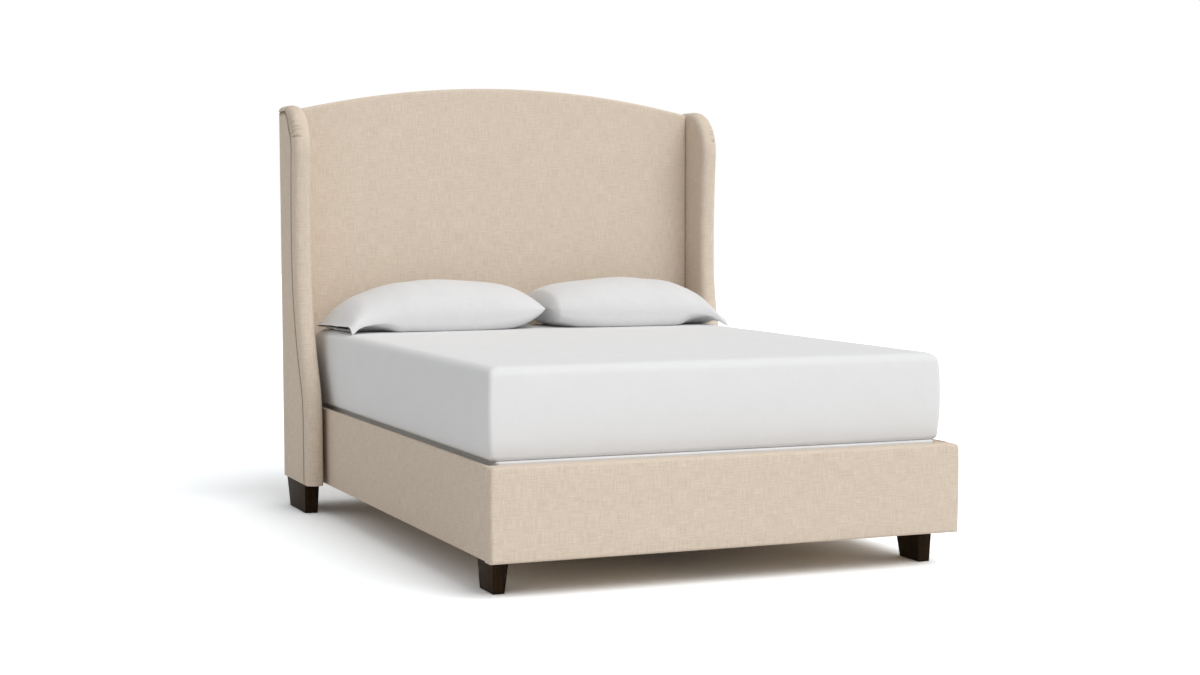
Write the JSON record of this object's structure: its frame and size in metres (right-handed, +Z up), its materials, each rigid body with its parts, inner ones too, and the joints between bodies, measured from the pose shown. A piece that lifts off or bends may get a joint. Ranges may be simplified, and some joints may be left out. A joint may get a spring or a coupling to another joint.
{
  "type": "upholstered storage bed",
  "caption": "Upholstered wing bed with an arched padded headboard, low linen rails, tapered wooden legs, mattress, pillows and a deck that lifts on gas struts over a storage well.",
  "frame": {"origin": "on the floor under the centre of the bed", "axes": "+Z up, +Y from the foot towards the headboard, +X across the bed to the right as seen from the foot"},
  "size_m": [1.73, 2.22, 1.603],
  "materials": {
    "linen": "plain woven linen, matt",
    "dark_wood": "espresso stain, satin",
    "ply": "bare plywood",
    "pine": "bare softwood",
    "black_steel": "black powder coat",
    "zinc_steel": "zinc plated",
    "rod_chrome": "hard chrome, polished",
    "black_rubber": "matt",
    "foundation_cloth": "white woven cover, matt",
    "mattress_cloth": "white knitted cover, matt",
    "pillow_cloth": "white cotton pillowcase",
    "webbing": "black polyester webbing"
  },
  "bodies": {
    "base": {"back_leg_left": "dark_wood", "back_leg_right": "dark_wood", "base_pivot_pins": "zinc_steel", "center_beam": "black_steel", "center_leg_feet": "black_rubber", "center_legs": "black_steel", "corner_blocks": "pine", "deck_bumpers": "black_rubber", "floor_cleats": "pine", "floor_panels": "ply", "footboard_board": "ply", "footboard_cover": "linen", "footboard_dowels": "pine", "frame_bolts": "zinc_steel", "front_leg_left": "dark_wood", "front_leg_right": "dark_wood", "head_brackets": "black_steel", "headboard_arch_rail": "pine", "headboard_back_panel": "linen", "headboard_cross_rails": "pine", "headboard_pad": "linen", "headboard_post_left": "pine", "headboard_post_right": "pine", "headboard_sheet": "ply", "leg_bolts": "zinc_steel", "leg_glides": "black_rubber", "lift_base_plate_left": "black_steel", "lift_base_plate_right": "black_steel", "lift_screws": "zinc_steel", "side_rail_cover_left": "linen", "side_rail_cover_right": "linen", "side_rail_left": "ply", "side_rail_right": "ply", "storage_head_board": "ply", "wing_core_left": "ply", "wing_core_right": "ply", "wing_cover_left": "linen", "wing_cover_right": "linen", "wing_side_panel_left": "linen", "wing_side_panel_right": "linen"},
    "lift_arms": {"lift_front_arm_left": "black_steel", "lift_front_arm_right": "black_steel"},
    "deck": {"lift_deck_plate_left": "black_steel", "lift_deck_plate_right": "black_steel", "deck_pivot_pins": "zinc_steel", "deck_side_tube_left": "black_steel", "deck_side_tube_right": "black_steel", "deck_cross_tubes": "black_steel", "slats": "pine", "foundation": "foundation_cloth", "pull_strap": "webbing", "mattress": "mattress_cloth", "pillow_left": "pillow_cloth", "pillow_right": "pillow_cloth"},
    "rear_arms": {"lift_rear_arm_left": "black_steel", "lift_rear_arm_right": "black_steel"},
    "gas_cylinders": {"gas_cylinder_left": "black_steel", "gas_cylinder_right": "black_steel"},
    "gas_rods": {"gas_rod_left": "rod_chrome", "gas_rod_right": "rod_chrome"}
  },
  "joints": [
    {"name": "lift", "type": "hinge", "parent": "base", "child": "lift_arms", "pos_m": [0, 0.19, 0.14], "axis": [1, 0, 0], "range_deg": [0, 51.4]},
    {"name": "deck_tilt", "type": "hinge", "parent": "lift_arms", "child": "deck", "pos_m": [0, 0.603, 0.255], "axis": [1, 0, 0], "range_deg": [-77.2, 0]},
    {"name": "rear_arm_swing", "type": "hinge", "parent": "base", "child": "rear_arms", "pos_m": [0, 0.43, 0.28], "axis": [1, 0, 0], "range_deg": [0, 71.9]},
    {"name": "strut_swing", "type": "hinge", "parent": "base", "child": "gas_cylinders", "pos_m": [0, 0.594, 0.14], "axis": [1, 0, 0], "range_deg": [0, 59.1]},
    {"name": "strut_extend", "type": "slide", "parent": "gas_cylinders", "child": "gas_rods", "axis": [0, 0.7766, 0.63], "range_m": [0, 0.104]}
  ],
  "couplings": [
    {"joint": "deck_tilt", "follows": "lift", "ratio": -1.5},
    {"joint": "rear_arm_swing", "follows": "lift", "ratio": 1.3974},
    {"joint": "strut_swing", "follows": "lift", "ratio": 1.1487},
    {"joint": "strut_extend", "follows": "lift", "m_per_rad": 0.11573}
  ]
}
